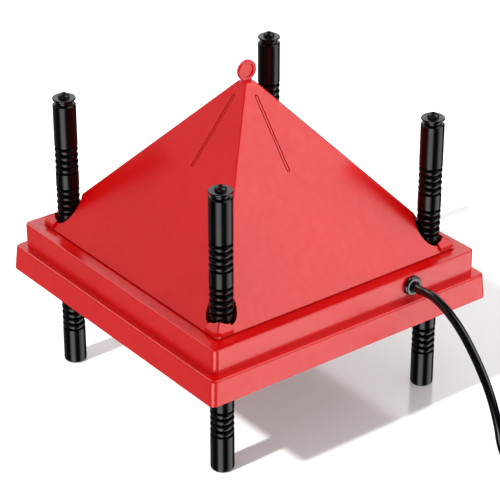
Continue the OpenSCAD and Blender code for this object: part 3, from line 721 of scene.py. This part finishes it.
def makeLeg(c):
    top, bore = c["top"], c["top"] - c["boreDeep"]
    line = [(0, 0), *bend((c["r"] - c["footR"], c["footR"]), c["footR"], -90, 0, 6)]
    for g in range(c["groups"]):
        line += ringed(c, c["ringFrom"] + g * c["groupPitch"])
    line += [(c["r"], top - c["chamfer"]), (c["r"] - c["chamfer"], top)]
    line += [(c["boreR"], top), (c["boreR"], bore), (0, bore)]
    piece = turned("leg", line)
    shaded(piece, turnedCrease)
    return piece


def makeCap(c, foot):
    low, under = foot - c["spigot"], foot + c["neckH"]
    top = under + c["thick"]
    line = [(c["holeR"], low), (c["spigotR"], low), (c["spigotR"], foot), (c["neckR"], foot)]
    line += [(c["neckR"], under - c["taper"]), (c["r"], top - c["soft"] - c["rim"])]
    line += bend((c["r"] - c["soft"], top - c["soft"]), c["soft"], 0, 90, 4)
    line += [(c["holeR"], top), (c["holeR"], low)]
    piece = turned("cap", line)
    shaded(piece, turnedCrease)
    return piece


def makeScrew(c, seat):
    dome = c["high"] - c["rim"]
    radius = (c["r"] ** 2 + dome ** 2) / (2 * dome)
    spread = math.degrees(math.asin(c["r"] / radius))
    foot = seat - c["shank"]
    line = [(0, foot), (c["shankR"], foot), (c["shankR"], seat), (c["r"], seat)]
    line += bend((0, seat + c["high"] - radius), radius, 90 - spread, 90, 8)
    piece = turned("screw", line)
    low, high = seat + c["high"] - c["slotDeep"], seat + c["slotTop"]
    for x, y in ((c["slotL"] / 2, c["slotW"] / 2), (c["slotW"] / 2, c["slotL"] / 2)):
        carve(piece, block("arm", (-x, -y, low), (x, y, high)))
    shaded(piece, turnedCrease)
    return piece


seat = leg["top"] + cap["neckH"] + cap["thick"]
legParts = {
    "leg": (makeLeg(leg), "leg_black"),
    "leg_cap": (makeCap(cap, leg["top"]), "cap_black"),
    "leg_screw": (makeScrew(capScrew, seat), "screw_black"),
}
for corner, (x, y) in corners.items():
    for part, (pattern, slot) in legParts.items():
        twin = copyTo(pattern, pattern.name + corner.capitalize(), x * leg["at"], y * leg["at"])
        place(twin, slot, "leg_" + corner, part + "_" + corner)
for pattern, _ in legParts.values():
    bpy.data.objects.remove(pattern, do_unlink=True)
print("legs modelled")

# bush where the cord leaves the casing
bush = {
    "flangeR": 0.0074, "flangeT": 0.003, "soft": 0.0014, "boreR": 0.00325, "lip": 0.0019, "sleeveR": 0.0046,
    "collarR": 0.0052, "wallT": 0.0025, "collarT": 0.002, "at": (0.1178, 0.057, 0.1059),
}


def makeBush(c):
    inside = -c["wallT"]
    back = inside - c["collarT"]
    line = [(c["boreR"], back), (c["collarR"], back), (c["collarR"], inside)]
    line += [(c["sleeveR"], inside), (c["sleeveR"], 0), (c["flangeR"], 0)]
    line += bend((c["flangeR"] - c["soft"], c["flangeT"] - c["soft"]), c["soft"], 0, 90, 6)
    line += bend((c["boreR"] + c["lip"], c["flangeT"] - c["lip"]), c["lip"], 90, 180, 4)
    line.append((c["boreR"], back))
    piece = turned("bush", line)
    laid(piece, (0, quarter, 0), c["at"])
    shaded(piece, turnedCrease)
    return piece


place(makeBush(bush), "grommet_black", "base", "cord_grommet")
print("bush modelled")

# plug at the far end of the cord: a soft block with a stepped nose, finger grips and a ribbed neck;
# ribShape gives shares of a rib's length and of its depth
plug = {
    "at": (0.2424, 0.15735, 0.0112), "neckL": 0.02, "neckR": (0.0045, 0.0065), "neckSoft": 0.0005,
    "ribs": 5, "ribDeep": 0.0008, "ribMargin": 0.3, "ribShape": ((0.15, 0), (0.25, 1), (0.5, 1), (0.6, 0)),
    "long": 0.03, "wide": 0.026, "high": 0.022, "round": 0.005, "noseL": 0.006, "noseIn": 0.002,
    "soft": 0.001, "outerShare": 0.45, "grips": 4, "gripPitch": 0.0045, "gripW": 0.0016, "gripDeep": 0.0008,
}


def makeNeck(c):
    thin, thick = c["neckR"]
    soft, margin, end = c["neckSoft"], c["ribMargin"], c["neckL"] + lap
    line = [(0, 0), (thin - soft, 0), (thin, soft)]
    for k in range(c["ribs"]):
        for share, deep in c["ribShape"]:
            t = (k + margin + share) / (c["ribs"] + 2 * margin)
            line.append((thin + (thick - thin) * t - deep * c["ribDeep"], c["neckL"] * t))
    line += [(thick, c["neckL"]), (thick, end), (0, end)]
    neck = turned("neck", line)
    laid(neck, (0, -quarter, 0), c["at"])
    return neck


def makePlug(c):
    x, y, z = c["at"]
    halfW, halfH = c["wide"] / 2, c["high"] / 2
    back = x - c["neckL"]
    step = back - c["long"] + c["noseL"]
    nose = step - c["noseL"]
    piece = block("plug", (step, y - halfW, z - halfH), (back, y + halfW, z + halfH))
    edit(piece)
    pick("EDGE", lambda e: along(e, 0))
    soften(c["round"], 7)
    pick("FACE", lambda f: facing(f, 0, -1))
    pull(0, 0, 0)
    grow(1, 1 - c["noseIn"] / halfW, 1 - c["noseIn"] / halfH, c["at"])
    pull(-c["noseL"], 0, 0)

    def onRim(v):
        outer = max(abs(v.co.y - y) / c["wide"], abs(v.co.z - z) / c["high"]) > c["outerShare"]
        return near(v.co.x, back) or near(v.co.x, nose) or near(v.co.x, step) and outer

    pick("EDGE", lambda e: near(e.verts[0].co.x, e.verts[1].co.x) and all(map(onRim, e.verts)))
    soften(c["soft"], 3)
    settle()
    cuts = []
    for side in (-1, 1):
        low = min(side * halfW, side * (halfW - c["gripDeep"])) + y - (lap if side < 0 else 0)
        high = low + c["gripDeep"] + lap
        for k in range(c["grips"]):
            middle = back - c["gripPitch"] * (k + 1)
            start, stop = middle - c["gripW"] / 2, middle + c["gripW"] / 2
            cuts.append(block("grip", (start, low, z - c["high"]), (stop, high, z + c["high"])))
    carve(piece, joined(cuts))
    carve(piece, makeNeck(c), "UNION")
    shaded(piece, turnedCrease)
    return piece


plugPiece = makePlug(plug)
plugPiece.visible_glossy = False
place(plugPiece, "plug_black", "base", "plug_body")
print("plug modelled")

# studio: a white room whose gloss comes from soft panels; turn is a panel's bearing,
# full and fade are angles from its middle, low and high are heights from -1 to 1
studio = {
    "floorHalf": 6, "floorWhite": 0.9, "floorGlow": 0.18, "floorGloss": 0.2, "floorRough": 0.14,
    "skyLight": 0.65, "dim": 0.03, "panelSoft": 0.1, "lampAim": (0, 0, 0.12),
}
panels = {
    "right": {"turn": 45, "full": 3, "fade": 35, "low": -1.2, "high": -0.2, "bright": 2.8},
    "rightHigh": {"turn": 45, "full": 8, "fade": 40, "low": 0.25, "high": 0.95, "bright": 2.75},
    "front": {"turn": -56, "full": 1, "fade": 31, "low": -1.2, "high": -0.15, "bright": 4.9},
    "back": {"turn": 142, "full": 15, "fade": 45, "low": 0.2, "high": 0.6, "bright": 1.6},
    "backHigh": {"turn": -175, "full": 6, "fade": 24, "low": 0.5, "high": 0.9, "bright": 3},
    "left": {"turn": -145, "full": 30, "fade": 60, "low": 0.0, "high": 0.9, "bright": 0.5},
    "leftLow": {"turn": -155, "full": 2, "fade": 35, "low": -1.2, "high": -0.15, "bright": 0.22},
}


def shareOf(level, start, stop):
    span = {"Value": level, "From Min": start, "From Max": stop}
    return level.make("MapRange", {"interpolation_type": "SMOOTHSTEP"}, span)


def panelLight(way):
    level, soft = studio["dim"], studio["panelSoft"]
    up = way.make("SeparateXYZ", None, {"Vector": way}, "Z")
    flat = way.make("VectorMath", {"operation": "MULTIPLY"}, {0: way, 1: (1, 1, 0)})
    flat = flat.make("VectorMath", {"operation": "NORMALIZE"}, {0: flat})
    for panel in panels.values():
        turn, fade, full = (math.radians(panel[key]) for key in ("turn", "fade", "full"))
        bearing = (math.cos(turn), math.sin(turn), 0)
        toward = flat.make("VectorMath", {"operation": "DOT_PRODUCT"}, {0: flat, 1: bearing}, "Value")
        across = shareOf(toward, math.cos(fade), math.cos(full))
        above = shareOf(up, panel["low"] - soft, panel["low"] + soft)
        below = 1 - shareOf(up, panel["high"] - soft, panel["high"] + soft)
        level = across * above * below * panel["bright"] + level
    return level


settle()
bpy.ops.mesh.primitive_plane_add(size=2 * studio["floorHalf"])
floor = bpy.context.object
floor.name = floor.data.name = "floor"
floor.visible_glossy = False
floorFinish = bpy.data.materials.new("paleFloor")
floorFinish.use_nodes = True
floor.data.materials.append(floorFinish)
tree = floorFinish.node_tree
direct = Wire(tree, tree.nodes.new("ShaderNodeLightPath").outputs["Is Camera Ray"])
shadow = direct.make("BsdfDiffuse", None, {"Color": (*grey(studio["floorWhite"]), 1)})
shine = direct.make("BsdfGlossy", None, {"Roughness": studio["floorRough"]})
glow = direct.make("Emission", None, {"Strength": direct * studio["floorGlow"]})
surface = direct.make("MixShader", None, {0: direct * studio["floorGloss"], 1: shadow, 2: shine})
surface = direct.make("AddShader", None, {0: surface, 1: glow})
tree.links.new(surface.socket, tree.nodes["Material Output"].inputs["Surface"])

# mirror rays see the panels, the camera sees white, and all other rays get the sky's light
world = bpy.data.worlds.new("studio")
bpy.context.scene.world = world
world.use_nodes = True
tree = world.node_tree
seen = tree.nodes.new("ShaderNodeLightPath")
direct = Wire(tree, seen.outputs["Is Camera Ray"]) + Wire(tree, seen.outputs["Is Transmission Ray"])
mirrored = Wire(tree, seen.outputs["Is Glossy Ray"])
way = Wire(tree, tree.nodes.new("ShaderNodeTexCoord").outputs["Generated"])
strength = direct + mirrored * panelLight(way) + (1 - direct - mirrored) * studio["skyLight"]
tree.links.new(strength.socket, tree.nodes["Background"].inputs["Strength"])
tree.nodes["Background"].inputs["Color"].default_value = (1, 1, 1, 1)

# the small hard lamp throws the shadow and lights the floor alone; the soft ones light all but the floor
lamps = {
    "key": {"kind": "SUN", "place": (0.02, -1.4, 1.46), "size": 0.06, "power": 4.2, "link": "INCLUDE"},
    "front": {"kind": "AREA", "place": (-0.2, -1.4, 1.45), "size": 1.2, "power": 8.8, "link": "EXCLUDE"},
    "softbox": {"kind": "AREA", "place": (0.85, 0.78, 1.25), "size": 1.6, "power": 13, "link": "EXCLUDE"},
}
for name, lamp in lamps.items():
    bpy.ops.object.light_add(type=lamp["kind"], location=lamp["place"])
    light = bpy.context.object
    light.name = name
    light.visible_glossy = False
    light.data.energy = lamp["power"]
    light.rotation_euler = aimed(lamp["place"], studio["lampAim"])
    if lamp["kind"] == "SUN":
        light.data.angle = lamp["size"]
    else:
        light.data.size = lamp["size"]
    lit = bpy.data.collections.new(name + "Link")
    lit.objects.link(floor)
    lit.collection_objects[0].light_linking.link_state = lamp["link"]
    light.light_linking.receiver_collection = lit
bpy.context.scene.view_settings.view_transform = "Standard"
print("studio lit")
